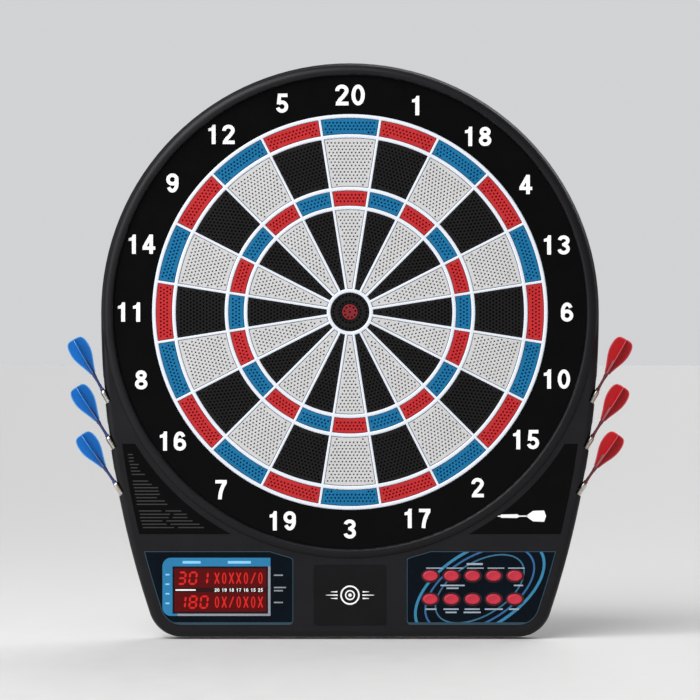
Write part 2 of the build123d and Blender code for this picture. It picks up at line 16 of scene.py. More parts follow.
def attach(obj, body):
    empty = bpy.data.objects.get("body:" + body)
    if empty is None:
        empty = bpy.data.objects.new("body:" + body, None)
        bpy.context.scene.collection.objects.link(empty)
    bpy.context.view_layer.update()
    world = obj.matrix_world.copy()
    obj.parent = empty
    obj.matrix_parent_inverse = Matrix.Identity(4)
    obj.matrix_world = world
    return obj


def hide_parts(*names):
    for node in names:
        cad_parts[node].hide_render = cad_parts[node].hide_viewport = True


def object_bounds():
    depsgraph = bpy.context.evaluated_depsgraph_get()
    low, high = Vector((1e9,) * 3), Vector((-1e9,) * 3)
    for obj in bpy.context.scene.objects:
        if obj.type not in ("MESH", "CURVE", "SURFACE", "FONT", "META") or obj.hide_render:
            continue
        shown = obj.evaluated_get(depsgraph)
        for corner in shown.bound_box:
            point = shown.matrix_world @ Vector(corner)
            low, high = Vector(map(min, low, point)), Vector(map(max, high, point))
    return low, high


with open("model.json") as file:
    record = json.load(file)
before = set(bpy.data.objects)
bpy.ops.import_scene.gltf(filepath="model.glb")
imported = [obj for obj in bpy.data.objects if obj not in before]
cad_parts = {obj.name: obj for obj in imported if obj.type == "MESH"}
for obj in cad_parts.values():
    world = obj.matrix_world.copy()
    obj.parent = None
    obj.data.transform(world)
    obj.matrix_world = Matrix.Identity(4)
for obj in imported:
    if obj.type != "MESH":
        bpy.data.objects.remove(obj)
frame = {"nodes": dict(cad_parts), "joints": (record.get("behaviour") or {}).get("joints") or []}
cad_low, cad_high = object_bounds()

MM = 0.001

# ---------- the board's sizes, as in the CAD model
NUMBERS = [20, 1, 18, 4, 13, 6, 10, 15, 2, 17, 3, 19, 7, 16, 8, 11, 14, 9, 12, 5]
SECTOR = 2 * math.pi / len(NUMBERS)
TARGET_R = 196.85
BULL_WALL_R = 21.2
TREBLE_IN_R = 103.8
TREBLE_OUT_R = 122.8
DOUBLE_IN_R = 175.1
DOUBLE_OUT_R = 194.95
RING_WALL = 3.8
SPOKE_WALL = 2.6
INNER_BULL_R = 7.9
GAP = 0.4
FLANGE_R = 206.0
PLATE_BACK = 26.0
WEB_BACK = 22.5
WEB_FRONT = 32.0
SEGMENT_FRONT = 31.5
SEGMENT_BACK = 21.2
NUMBER_RING_FRONT = 30.3
FACE = 33.0
HOUSING_R = 248.0
SIDE_R = 950.0
HOUSING_BOTTOM = 323.6
CORNER_R = 34.0
PANEL_INSET = 12.0
PANEL_R = 250.5
PANEL_TOP = -237.5
PANEL_SIDE = 56.0
LABEL_TOP = -131.0
LABEL_BOTTOM = -221.0
LABEL_FLOOR = 32.4
RIDGE_ARCS = [           # radius and depth of three points on each arc of the round ridge
    ((235.5, 33.4), (236.4, 35.3), (238.7, 36.0)),
    ((238.7, 36.0), (243.9, 34.3), (246.5, 29.8)),
]
GRIP = 0.05              # how near an arc a point must be to belong to it
PRINT = 0.08             # thickness of a printed mark

# ---------- dart holes
HOLE_PITCH = 3.7
HOLE_R = 1.12
HOLE_NECK_R = 0.82
HOLE_SIDES = 8
HOLE_DEPTH = 3.2
HOLE_FLARE = 0.55        # depth of the funnel at each hole's mouth
HOLE_FLOOR_R = 0.7544
HOLE_MARGIN = 0.75       # plastic left between a hole and the segment's edge
SEGMENT_EDGE = 0.5       # chamfer round the front of a segment
WEB_EDGE = 1.0           # rounding of the web's crests
CREST_STEPS = 4          # flats in that rounding
RIM_STEPS = 240          # points round the web's rim
BULL_STEPS = 72          # points round the outer bull and its wall
INNER_BULL_STEPS = 48
ARC_FLAT = 3.2           # longest flat on a segment's arcs
SAME_POINT = 1e-6        # points nearer than this are one


# ---------- geometry helpers
def place(x, y, d):
    """A point of the board's own frame, in the shared frame's metres."""
    return Vector((x, -d, y)) * MM


def polar(radius, angle):
    """A point at a radius, at an angle measured clockwise from straight up."""
    return (radius * math.sin(angle), radius * math.cos(angle))


def turned(point, angle):
    """A point turned clockwise about the bull."""
    x, y = point
    c, s = math.cos(angle), math.sin(angle)
    return (x * c + y * s, y * c - x * s)


class Build:
    """Gathers vertices and faces in the board's own millimetres, and makes one object of them."""

    def __init__(self):
        self.points = []
        self.faces = []

    def ring(self, points, depth):
        """Adds a closed row of points at one depth and gives their numbers."""
        start = len(self.points)
        self.points += [(x, y, depth) for x, y in points]
        return list(range(start, len(self.points)))

    def bridge(self, a, b):
        """Joins two closed rows with the same number of points by a band of four-sided faces."""
        count = len(a)
        for i in range(count):
            j = (i + 1) % count
            self.faces.append((a[i], a[j], b[j], b[i]))

    def cap(self, row):
        self.faces.append(tuple(row))

    def step(self, row, points, depth):
        """Joins a row to a new one at another depth, and gives the new one."""
        following = self.ring(points, depth)
        self.bridge(row, following)
        return following

    def prism(self, points, low, high):
        """A closed flat shape between two depths."""
        back = self.ring(points, low)
        front = self.step(back, points, high)
        self.cap(back[::-1])
        self.cap(front)

    def make(self, name, body, slot, material, smooth=35, replaces=()):
        points = [place(*p) for p in self.points]
        closed_piece(name, points, self.faces, body, material, smooth, replaces)

    def printed(self, name, slot, ink):
        """A flat print on the board."""
        self.make(name, "board", slot, INKS[ink], 0)


def add_object(name, data):
    thing = bpy.data.objects.new(name, data)
    bpy.context.scene.collection.objects.link(thing)
    return thing


def closed_piece(name, points, faces, body, material, smooth, replaces):
    """One object on a CAD body, with normals outwards and edges sharp past an angle in degrees."""
    mesh = bpy.data.meshes.new(name)
    mesh.from_pydata(points, [], faces)
    work = bmesh.new()
    work.from_mesh(mesh)
    bmesh.ops.recalc_face_normals(work, faces=work.faces)
    work.to_mesh(mesh)
    work.free()
    if smooth:
        for polygon in mesh.polygons:
            polygon.use_smooth = True
        mesh.set_sharp_from_angle(angle=math.radians(smooth))
    mesh.materials.append(material)
    piece = add_object(name, mesh)
    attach(piece, body)
    if replaces:
        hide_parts(*replaces)


def circle(radius, count, centre=(0, 0)):
    return [(centre[0] + radius * math.sin(2 * math.pi * i / count),
             centre[1] + radius * math.cos(2 * math.pi * i / count)) for i in range(count)]


def ellipse(rx, ry, count, centre=(0, 0), tilt=0.0):
    c, s = math.cos(tilt), math.sin(tilt)
    points = []
    for i in range(count):
        a = 2 * math.pi * i / count
        x, y = rx * math.cos(a), ry * math.sin(a)
        points.append((centre[0] + x * c - y * s, centre[1] + x * s + y * c))
    return points


def arc(centre, rx, ry, start, end, steps=18):
    """Points on an ellipse from one angle to another, in degrees anticlockwise from the right."""
    points = []
    for i in range(steps + 1):
        a = math.radians(start + (end - start) * i / steps)
        points.append((centre[0] + rx * math.cos(a), centre[1] + ry * math.sin(a)))
    return points


def box_outline(left, bottom, right, top):
    return [(left, bottom), (right, bottom), (right, top), (left, top)]


def rounded_box(left, right, bottom, top, radius, steps=6):
    """A rectangle with round corners."""
    points = []
    for x, y, start in ((right - radius, top - radius, 0), (left + radius, top - radius, 90),
                        (left + radius, bottom + radius, 180), (right - radius, bottom + radius, 270)):
        points += arc((x, y), radius, radius, start, start + 90, steps)
    return points


def inside(point, outline):
    """Whether a point lies in a closed outline."""
    x, y = point
    found = False
    for i in range(len(outline)):
        (x1, y1), (x2, y2) = outline[i - 1], outline[i]
        if (y1 > y) != (y2 > y) and x < (x2 - x1) * (y - y1) / (y2 - y1) + x1:
            found = not found
    return found


def side_x(y, inset=0.0):
    """Half the housing's width at a height, moved inwards by an inset."""
    if y >= 0:
        return math.sqrt(max(0.0, (HOUSING_R - inset) ** 2 - y * y))
    return math.sqrt((SIDE_R - inset) ** 2 - y * y) - (SIDE_R - HOUSING_R)


# ---------- materials
def rgb(red, green, blue):
    """A colour given as screen values from 0 to 255, as linear light."""
    def linear(v):
        v /= 255
        return v / 12.92 if v <= 0.04045 else ((v + 0.055) / 1.055) ** 2.4
    return (linear(red), linear(green), linear(blue), 1.0)


def shade(colour, factor):
    return tuple(min(1.0, c * factor) for c in colour[:3]) + (1.0,)


def new_material(name):
    material = bpy.data.materials.new(name)
    material.use_nodes = True
    tree = material.node_tree
    shader = tree.nodes["Principled BSDF"]
    return material, tree, shader


def add_node(tree, kind, **values):
    """A shader node with some inputs set; an underscore stands for the space in an input's name."""
    node = tree.nodes.new(kind)
    for name, value in values.items():
        node.inputs[name.replace("_", " ")].default_value = value
    return node


def noise(tree, scale, detail=3.0, roughness=0.5):
    """A noise texture in the shared frame's metres."""
    texture = add_node(tree, "ShaderNodeTexNoise", Scale=scale, Detail=detail, Roughness=roughness)
    tree.links.new(tree.nodes.new("ShaderNodeTexCoord").outputs["Object"], texture.inputs["Vector"])
    return texture.outputs["Fac"]


def spread(tree, source, low, high):
    """Maps a texture's middle range onto a range of values."""
    remap = add_node(tree, "ShaderNodeMapRange", From_Min=0.3, From_Max=0.7, To_Min=low, To_Max=high)
    tree.links.new(source, remap.inputs["Value"])
    return remap.outputs["Result"]


def blend_colours(tree, factor, first, second):
    mix = tree.nodes.new("ShaderNodeMix")
    mix.data_type = "RGBA"
    mix.inputs[6].default_value = first
    mix.inputs[7].default_value = second
    tree.links.new(factor, mix.inputs[0])
    return mix.outputs[2]


def add_bump(tree, shader, height, strength, distance):
    bump = add_node(tree, "ShaderNodeBump", Strength=strength, Distance=distance)
    tree.links.new(height, bump.inputs["Height"])
    tree.links.new(bump.outputs["Normal"], shader.inputs["Normal"])


def plastic(name, colour, rough=(0.4, 0.5), grain=2600.0, relief=0.25, mottle=0.06, specular=0.4):
    """Moulded plastic: spark-eroded grain, cloudy sheen and a slight drift of colour."""
    material, tree, shader = new_material(name)
    cloud = noise(tree, 34.0, 4.0, 0.6)
    low, high = shade(colour, 1 - mottle), shade(colour, 1 + mottle)
    tint = blend_colours(tree, spread(tree, cloud, 0.0, 1.0), low, high)
    tree.links.new(tint, shader.inputs["Base Color"])
    tree.links.new(spread(tree, cloud, *rough), shader.inputs["Roughness"])
    add_bump(tree, shader, noise(tree, grain, 2.0, 0.6), relief, 0.00012)
    shader.inputs["Specular IOR Level"].default_value = specular
    return material


def metal(name, colour, rough=(0.22, 0.38), grain=1400.0):
    material, tree, shader = new_material(name)
    cloud = noise(tree, 260.0, 4.0)
    tint = blend_colours(tree, cloud, shade(colour, 0.82), shade(colour, 1.1))
    tree.links.new(tint, shader.inputs["Base Color"])
    tree.links.new(spread(tree, cloud, *rough), shader.inputs["Roughness"])
    shader.inputs["Metallic"].default_value = 1.0
    add_bump(tree, shader, noise(tree, grain, 2.0), 0.15, 0.0001)
    return material


def light(name, colour, strength, base):
    """A lit part of the display, slightly uneven, as a diffused lamp is."""
    material, tree, shader = new_material(name)
    glow = blend_colours(tree, noise(tree, 420.0, 2.0), shade(colour, 0.7), shade(colour, 1.15))
    tree.links.new(glow, shader.inputs["Emission Color"])
    shader.inputs["Emission Strength"].default_value = strength
    shader.inputs["Base Color"].default_value = base
    shader.inputs["Roughness"].default_value = 0.4
    shader.inputs["Specular IOR Level"].default_value = 0.1
    return material


def printed_ink(name, colour):
    """Screen-printed ink with a slightly uneven film."""
    return plastic(name, colour, (0.44, 0.56), 1800.0, 0.12, 0.05)


HOUSING = plastic("housing_plastic", rgb(18, 16, 19), (0.36, 0.48), 1300.0, 0.8, 0.08, 0.2)
COVER = plastic("cover_plastic", rgb(22, 22, 23), (0.50, 0.64), 1000.0, 0.9, 0.10, 0.28)
RING_BLACK = plastic("number_ring_plastic", rgb(3, 3, 4), (0.28, 0.36), 2800.0, 0.12, 0.10, 0.08)
WEB = plastic("web_plastic", rgb(216, 221, 230), (0.30, 0.40), 2600.0, 0.12, 0.02)
BULL_RED = plastic("bull_red", rgb(122, 30, 36), (0.38, 0.50), 2400.0, 0.3, 0.06, 0.25)
SEGMENT_MATERIALS = {
    "white": plastic("segment_white", rgb(194, 193, 193), (0.42, 0.54), 2400.0, 0.3, 0.035),
    "black": plastic("segment_black", rgb(10, 9, 11), (0.42, 0.55), 2400.0, 0.3, 0.10, 0.2),
    "red": plastic("segment_red", rgb(180, 34, 38), (0.38, 0.50), 2400.0, 0.3, 0.06, 0.25),
    "blue": plastic("segment_blue", rgb(4, 102, 148), (0.38, 0.50), 2400.0, 0.3, 0.06, 0.25),
}
INKS = {name: printed_ink(f"ink_{name}", rgb(*colour)) for name, colour in {
    "white": (242, 242, 242), "grey": (38, 38, 40), "silver": (132, 140, 150), "pale": (150, 165, 180),
    # painted highlight: the dull blue on the next line paints the lit edges of the overlays
    "light_blue": (128, 196, 232), "bright_blue": (20, 114, 160), "edge_highlight_blue": (32, 60, 74),
    # painted glow: the dark red on the next line paints the red glow round the keys
    "key_painted_glow": (54, 12, 24), "swirl_1": (40, 96, 126), "swirl_2": (32, 90, 140),
    "swirl_3": (38, 118, 156)}.items()}
NAVY = plastic("overlay_film", rgb(0, 8, 18), (0.24, 0.32), 2600.0, 0.10, 0.35, 0.1)
LABEL_BLACK = plastic("label_film", rgb(3, 3, 4), (0.30, 0.38), 2400.0, 0.12, 0.10, 0.08)
BADGE_GREY = plastic("badge_plastic", rgb(11, 11, 13), (0.32, 0.44), 700.0, 0.3, 0.14, 0.15)
SMOKED = plastic("smoked_window", rgb(40, 4, 7), (0.10, 0.16), 3000.0, 0.03, 0.10, 0.15)
DISPLAY_DIM = light("display_dim", rgb(104, 8, 9), 0.54, rgb(48, 3, 4))
DISPLAY_LIT = light("display_lit", rgb(222, 42, 36), 0.74, rgb(120, 12, 12))
KEY_RED = plastic("button_rubber", rgb(184, 38, 58), (0.40, 0.50), 1900.0, 0.25, 0.06, 0.35)
DARK_RUBBER = plastic("dark_rubber", rgb(38, 38, 39), (0.7, 0.8), 900.0, 0.4, 0.1, 0.2)
FILM = plastic("membrane_film", rgb(196, 200, 186), (0.3, 0.4), 1200.0, 0.1, 0.06)
HARDBOARD = plastic("hardboard", rgb(112, 82, 52), (0.7, 0.85), 700.0, 0.6, 0.2, 0.2)
BLACK_PLASTIC = plastic("black_plastic", rgb(18, 18, 19), (0.42, 0.52), 2200.0, 0.3, 0.1, 0.3)
SOLDER_MASK = plastic("circuit_board", rgb(22, 78, 40), (0.3, 0.4), 500.0, 0.2, 0.2)
LABEL_SILVER = plastic("rear_label_film", rgb(118, 120, 123), (0.34, 0.46), 1500.0, 0.15, 0.05, 0.4)
STEEL = metal("screw_steel", rgb(150, 150, 152))
BARREL_METAL = metal("barrel_metal", rgb(204, 200, 192), (0.18, 0.3))
TIP_PLASTIC = plastic("tip_plastic", rgb(24, 24, 26), (0.35, 0.45), 2200.0, 0.2, 0.1, 0.3)
FLIGHTS = {}             # edge and vane materials
for dye, at_edge, on_vane in (("blue", rgb(64, 136, 206), rgb(0, 94, 172)),
                              ("red", rgb(204, 74, 82), rgb(172, 16, 26))):
    FLIGHTS[dye] = (plastic(f"flight_{dye}_edge", at_edge, (0.3, 0.4), 900.0, 0.2, 0.05, 0.3),
                    plastic(f"flight_{dye}", on_vane, (0.28, 0.38), 900.0, 0.2, 0.05, 0.3))
SHAFTS = {"blue": plastic("shaft_blue", rgb(46, 58, 108), (0.25, 0.35), 1500.0, 0.15, 0.06),
          "red": plastic("shaft_red", rgb(104, 34, 44), (0.25, 0.35), 1500.0, 0.15, 0.06)}


# ---------- scoring face
CELL_RINGS = {"inner": (BULL_WALL_R, TREBLE_IN_R), "treble": (TREBLE_IN_R, TREBLE_OUT_R),
              "outer": (TREBLE_OUT_R, DOUBLE_IN_R), "double": (DOUBLE_IN_R, DOUBLE_OUT_R)}


def arc_steps(radius):
    return max(4, int(radius * SECTOR / ARC_FLAT))


def cell_outline(inner, outer, clear):
    """One cell of the web, centred straight up, shrunk on all sides by a clearance."""
    offset = SPOKE_WALL / 2 + clear
    low = inner + RING_WALL / 2 + clear
    high = outer - RING_WALL / 2 - clear
    reach_low = SECTOR / 2 - math.asin(offset / low)
    reach_high = SECTOR / 2 - math.asin(offset / high)
    low_steps, high_steps = arc_steps(inner), arc_steps(outer)
    points = [polar(low, reach_low * (1 - 2 * i / low_steps)) for i in range(low_steps + 1)]
    points += [polar(high, reach_high * (2 * i / high_steps - 1)) for i in range(high_steps + 1)]
    return points


def room_in_cell(point, inner, outer):
    """How far a point lies from the nearest wall of its cell, with the walls' own clearance off."""
    x, y = point
    radius = math.hypot(x, y)
    angle = abs(math.atan2(x, y))
    to_spoke = radius * math.sin(SECTOR / 2 - angle) - SPOKE_WALL / 2
    return min(to_spoke, radius - inner - RING_WALL / 2, outer - RING_WALL / 2 - radius) - GAP


def hole_centres(inner, outer):
    """Staggered rows of holes that fill a segment, centred on its middle line."""
    row_step = HOLE_PITCH * math.sqrt(3) / 2
    middle = (inner + outer) / 2
    rows = int((outer - inner) / row_step) + 2
    columns = int(outer * SECTOR / HOLE_PITCH) + 2
    centres = []
    for row in range(-rows, rows + 1):
        shift = HOLE_PITCH / 2 if row % 2 else 0.0
        for column in range(-columns, columns + 1):
            point = (column * HOLE_PITCH + shift, middle + row * row_step)
            if room_in_cell(point, inner, outer) > HOLE_R + HOLE_MARGIN:
                centres.append(point)
    return centres


def flat_triangles(build, rows):
    """Triangles of the flat area that rows divide, each with the set of rows its corners are on."""
    points, owner, edges = [], [], []
    for number, row in enumerate(rows):
        start = len(points)
        points += row
        owner += [number] * len(row)
        edges += [(start + i, start + (i + 1) % len(row)) for i in range(len(row))]
    found = delaunay_2d_cdt([Vector(build.points[i][:2]) for i in points], edges, [], 1, SAME_POINT)
    faces = [[found[3][i][0] for i in face] for face in found[2]]
    return [(tuple(points[i] for i in face), {owner[i] for i in face}) for face in faces]


def perforated(build, outline, outline_low, centres, inner=None, inner_low=None):
    """A closed block whose front is pierced by funnel-mouthed blind holes.

    outline is its front edge and outline_low the edge of its sides; inner and inner_low are the
    same for a hole through the whole block.
    """
    front = SEGMENT_FRONT
    rows = [build.ring(points, front) for points in ([outline, inner] if inner else [outline])]
    mouths = [build.ring(circle(HOLE_R, HOLE_SIDES, centre), front) for centre in centres]
    for corners, owners in flat_triangles(build, rows + mouths):
        if len(owners) > 1 or owners == {0}:
            build.cap(corners)
    for centre, mouth in zip(centres, mouths):
        neck = build.step(mouth, circle(HOLE_NECK_R, HOLE_SIDES, centre), front - HOLE_FLARE)
        build.cap(build.step(neck, circle(HOLE_FLOOR_R, HOLE_SIDES, centre), front - HOLE_DEPTH))
    bases = []
    for row, low in zip(rows, (outline_low, inner_low)):
        bases.append(build.step(build.step(row, low, front - SEGMENT_EDGE), low, SEGMENT_BACK))
    if inner:
        build.bridge(*bases)
    else:
        build.cap(bases[0])


def segment_shape(inner, outer):
    """One segment, centred straight up."""
    build = Build()
    perforated(build, cell_outline(inner, outer, GAP + SEGMENT_EDGE), cell_outline(inner, outer, GAP),
               hole_centres(inner, outer))
    return build


def segment_colour(place_number, ring_name):
    light_sector = place_number % 2 == 0
    if ring_name in ("inner", "outer"):
        return "white" if light_sector else "black"
    if ring_name == "treble":
        return "red" if light_sector else "blue"
    return "blue" if light_sector else "red"


def build_segments():
    for ring_name, (inner, outer) in CELL_RINGS.items():
        shape = segment_shape(inner, outer)
        for i, number in enumerate(NUMBERS):
            build = Build()
            build.faces = shape.faces
            build.points = [turned((x, y), i * SECTOR) + (d,) for x, y, d in shape.points]
            colour = segment_colour(i, ring_name)
            build.make(f"segment_{number:02d}_{ring_name}", f"sector_{number:02d}", f"segment_{colour}",
                       SEGMENT_MATERIALS[colour], 30, (f"segments_{number:02d}",))


def round_hole_centres(low, high):
    """Rings of holes between two radii."""
    rings = int((high - low) / HOLE_PITCH) + 1
    centres = []
    for k in range(rings):
        radius = low + (high - low) * k / max(1, rings - 1)
        if radius < 0.1:
            centres.append((0.0, 0.0))
        else:
            centres += circle(radius, int(2 * math.pi * radius / HOLE_PITCH))
    return centres


def build_bulls():
    """The outer bull with the inner bull inside it."""
    edge = BULL_WALL_R - RING_WALL / 2 - GAP
    hole = INNER_BULL_R + GAP
    margin = HOLE_R + HOLE_MARGIN + SEGMENT_EDGE
    outer, inner = Build(), Build()
    perforated(outer, circle(edge - SEGMENT_EDGE, BULL_STEPS), circle(edge, BULL_STEPS),
               round_hole_centres(hole + margin, edge - margin),
               circle(hole + SEGMENT_EDGE, BULL_STEPS), circle(hole, BULL_STEPS))
    perforated(inner, circle(INNER_BULL_R - SEGMENT_EDGE, INNER_BULL_STEPS),
               circle(INNER_BULL_R, INNER_BULL_STEPS), round_hole_centres(0.0, INNER_BULL_R - margin))
    outer.make("outer_bull_segment", "outer_bull", "segment_black", SEGMENT_MATERIALS["black"], 30,
               ("outer_bull",))
    inner.make("inner_bull_segment", "inner_bull", "segment_red", BULL_RED, 30, ("inner_bull",))


def web_outlines():
    """Pairs of outlines, on the crest and below its rounding: the rim, the bull's wall and the cells."""
    bull_r = BULL_WALL_R - RING_WALL / 2
    pairs = [[circle(TARGET_R - WEB_EDGE, RIM_STEPS), circle(TARGET_R, RIM_STEPS)],
             [circle(bull_r + WEB_EDGE, BULL_STEPS), circle(bull_r, BULL_STEPS)]]
    for i in range(len(NUMBERS)):
        for inner, outer in CELL_RINGS.values():
            pairs.append([[turned(p, i * SECTOR) for p in cell_outline(inner, outer, clear)]
                          for clear in (-WEB_EDGE, 0.0)])
    return pairs


def build_web():
    """The one-piece web, with rounded crests on its ring walls and radial walls."""
    build = Build()
    pairs = web_outlines()
    fronts = [build.ring(top, WEB_FRONT) for top, low in pairs]
    crest = []
    for corners, owners in flat_triangles(build, fronts):
        centre = sum((Vector(build.points[i][:2]) for i in corners), Vector((0, 0))) / 3
        if len(owners) > 1 or owners == {0} or not inside(centre, pairs[min(owners)][0]):
            crest.append(corners)
    build.faces += crest
    to_base = {}
    for number, (front, (top, low)) in enumerate(zip(fronts, pairs)):
        levels = []
        for k in range(1, CREST_STEPS + 1):
            a = math.pi / 2 * k / CREST_STEPS
            points = [(p[0] + (q[0] - p[0]) * math.sin(a), p[1] + (q[1] - p[1]) * math.sin(a))
                      for p, q in zip(top, low)]
            levels.append((points, WEB_FRONT - WEB_EDGE * (1 - math.cos(a))))
        if number == 0:
            flange = circle(FLANGE_R, RIM_STEPS)
            levels += [(low, PLATE_BACK), (flange, PLATE_BACK), (flange, WEB_BACK)]
        else:
            levels.append((low, WEB_BACK))
        row = front
        for points, depth in levels:
            row = build.step(row, points, depth)
        to_base.update(zip(front, row))
    build.faces += [tuple(to_base[i] for i in reversed(face)) for face in crest]
    build.make("scoring_web_moulding", "board", "web_plastic", WEB, 40, ("scoring_web",))


# ---------- flat marks
def flat_mark(build, outlines, keep, low, high):
    """A closed flat shape of any outline: what keep() accepts of the area that the outlines divide."""
    flat, edges = [], []
    for outline in outlines:
        start = len(flat)
        flat += [Vector(p) for p in outline]
        edges += [(start + i, start + (i + 1) % len(outline)) for i in range(len(outline))]
    points, _, triangles = delaunay_2d_cdt(flat, edges, [], 0, SAME_POINT)[:3]
    kept = [face for face in triangles if keep(sum((points[i] for i in face), Vector((0, 0))) / 3)]
    used = sorted({i for face in kept for i in face})
    back = dict(zip(used, build.ring([points[i] for i in used], low)))
    front = dict(zip(used, build.ring([points[i] for i in used], high)))
    sides = set()
    for face in kept:
        build.faces.append(tuple(front[i] for i in face))
        build.faces.append(tuple(back[i] for i in reversed(face)))
        for a, b in zip(face, face[1:] + face[:1]):
            if (b, a) in sides:
                sides.remove((b, a))
            else:
                sides.add((a, b))
    for a, b in sorted(sides):
        build.faces.append((front[b], front[a], back[a], back[b]))


def printed_at(depth):
    """The back and the front of a print on a face at a depth."""
    return depth - PRINT, depth + PRINT


def flat_ring(build, outer, inner, low, high):
    """A closed flat ring between two outlines."""
    flat_mark(build, [outer, inner], lambda p: inside(p, outer) and not inside(p, inner), low, high)


def stroke(path, width):
    """The outline of a line of even width along a path of points."""
    left, right = [], []
    for i, point in enumerate(path):
        here = Vector(point)
        before = Vector(path[i - 1]) if i else here
        after = Vector(path[i + 1]) if i + 1 < len(path) else here
        along = (after - before).normalized()
        across = Vector((-along.y, along.x)) * width / 2
        left.append(tuple(here + across))
        right.append(tuple(here - across))
    return left + right[::-1]


# ---------- digits
DIGIT_HEIGHT = 20.0      # the digits below are drawn at this height
DIGIT_WIDTH = 12.8
DIGIT_STROKE = 3.7
DIGIT_STEP = 15.6        # every digit takes the same width


def loop(centre, rx, ry):
    half = DIGIT_STROKE / 2
    return (arc(centre, rx + half, ry + half, 0, 350, 35), arc(centre, rx - half, ry - half, 0, 350, 35))


def digit_shapes(digit):
    """A bold upright digit as (outline, hole or None) pairs that overlap where they join."""
    w, h, t = DIGIT_WIDTH, DIGIT_HEIGHT, DIGIT_STROKE
    mid, rx = w / 2, (w - t) / 2
    if digit == "0":
        return [loop((mid, h / 2), rx, (h - t) / 2)]
    if digit == "8":
        return [loop((mid, 14.75), rx - 0.75, 3.3), loop((mid, 5.75), rx, 3.8)]
    if digit in "69":
        shapes = [loop((mid, 6.4), rx, 4.45), (stroke(arc((mid, 10), rx, 8.05, 34, 212, 26), t), None)]
        if digit == "6":
            return shapes
        return [tuple(part and [(w - x, h - y) for x, y in part] for part in pair) for pair in shapes]
    solid = {
        "1": [[(8.6, 0), (8.6, h), (5.6, h), (4.4, 17.2), (1.2, 16.2), (1.2, 13.4), (4.6, 13.6), (4.6, 0)]],
        "2": [stroke(arc((mid, 14.2), rx, h - t / 2 - 14.2, 186, -28)
                     + [(7.6, 8.4), (4.2, 5.0), (2.4, 1.4)], t), [(0.3, 0), (w, 0), (w, 3.6), (0.9, 3.6)]],
        "3": [stroke(arc((6.1, 14.6), rx - 0.3, 3.5, 172, -84), t),
              stroke(arc((6.1, 5.9), rx, 3.95, 86, -172), t), box_outline(4.6, 8.9, 7.0, 11.9)],
        "4": [box_outline(7.0, 0, 10.8, h), box_outline(0, 4.2, 13.2, 7.6),
              [(0, 7.4), (7.2, h), (8.4, h), (8.4, 14.6), (4.0, 7.4)]],
        "5": [box_outline(2.4, 16.4, 11.9, h), [(0.9, 8.9), (4.6, 8.9), (5.6, h), (2.0, h)],
              stroke(arc((6.2, 6.5), rx, 4.55, 138, -166), t)],
        "7": [box_outline(0.6, 16.5, 12.4, h),
              stroke([(10.6, 17.4), (8.4, 13.6), (6.6, 9.0), (5.6, 4.4), (5.3, 0)], t + 0.2)],
    }
    return [(outline, None) for outline in solid[digit]]


def add_number(build, text, centre, height, low, high):
    """Digits side by side, centred on a point."""
    scale = height / DIGIT_HEIGHT
    length = DIGIT_STEP * (len(text) - 1) + DIGIT_WIDTH
    x = centre[0] - length * scale / 2
    for character in text:
        shapes = [tuple(part and [(x + px * scale, centre[1] - height / 2 + py * scale) for px, py in part]
                        for part in pair) for pair in digit_shapes(character)]

        def keep(p, shapes=shapes):
            return any(inside(p, outer) and not (hole and inside(p, hole)) for outer, hole in shapes)
        flat_mark(build, [part for pair in shapes for part in pair if part], keep, low, high)
        x += DIGIT_STEP * scale


NUMBER_R = (216.0, 218.5)      # the numbers on the left stand a little further out
NUMBER_HEIGHT = 19.2
TOP_NUMBER_HEIGHT = 20.7


def build_numbers():
    """The upright printed numbers round the target."""
    for i, number in enumerate(NUMBERS):
        build = Build()
        height = NUMBER_HEIGHT if i else TOP_NUMBER_HEIGHT
        add_number(build, str(number), polar(NUMBER_R[i > len(NUMBERS) / 2], i * SECTOR), height,
                   *printed_at(NUMBER_RING_FRONT))
        build.printed(f"number_{number:02d}", "print_white", "white")


# ---------- console outlines
CORNER_Y = CORNER_R - HOUSING_BOTTOM
CORNER_X = math.sqrt((SIDE_R - CORNER_R) ** 2 - CORNER_Y ** 2) - (SIDE_R - HOUSING_R)


def panel_outline(side, inset=0.0):
    """The outline of an overlay: side is -1 for the display and 1 for the keys."""
    edge = PANEL_INSET + inset
    top, bottom = PANEL_TOP - inset, edge - HOUSING_BOTTOM
    inner, corner, round_r = PANEL_SIDE + inset, 4.0, PANEL_R + inset
    turn = math.degrees(math.atan2(CORNER_Y, CORNER_X + SIDE_R - HOUSING_R))
    start_y = CORNER_Y * (SIDE_R - edge) / (SIDE_R - CORNER_R)
    points = []
    for i in range(13):
        y = top + (start_y - top) * i / 12
        points.append((side_x(y, edge), y))
    points += arc((CORNER_X, CORNER_Y), CORNER_R - edge, CORNER_R - edge, turn, -90, 12)[1:]
    points += arc((inner + corner, bottom + corner), corner, corner, -90, -180, 6)
    first_y = -math.sqrt(round_r ** 2 - inner ** 2)
    points += [(inner, first_y - 2.0), (inner + 0.7, first_y - 0.5)]
    last_x = math.sqrt(round_r ** 2 - top ** 2)
    for i in range(1, 9):
        x = inner + 2.0 + (last_x - inner - 2.0) * i / 8
        points.append((x, -math.sqrt(round_r ** 2 - x ** 2)))
    return [(side * x, y) for x, y in points]


def label_outline(side, inset=0.0):
    """The outline of the sunk label between the round ridge and the side of the housing."""
    top, bottom = LABEL_TOP - inset, LABEL_BOTTOM + inset
    heights = [top + (bottom - top) * i / 16 for i in range(17)]
    points = [(side_x(y, PANEL_INSET + inset), y) for y in heights]
    points += [(math.sqrt((PANEL_R + inset) ** 2 - y * y), y) for y in reversed(heights)]
    return [(side * x, y) for x, y in points]


def dash(build, x, y, length, height, depth):
    """A short printed bar that stands for a line of print."""
    build.prism(box_outline(x, y, x + length, y + height), *printed_at(depth))


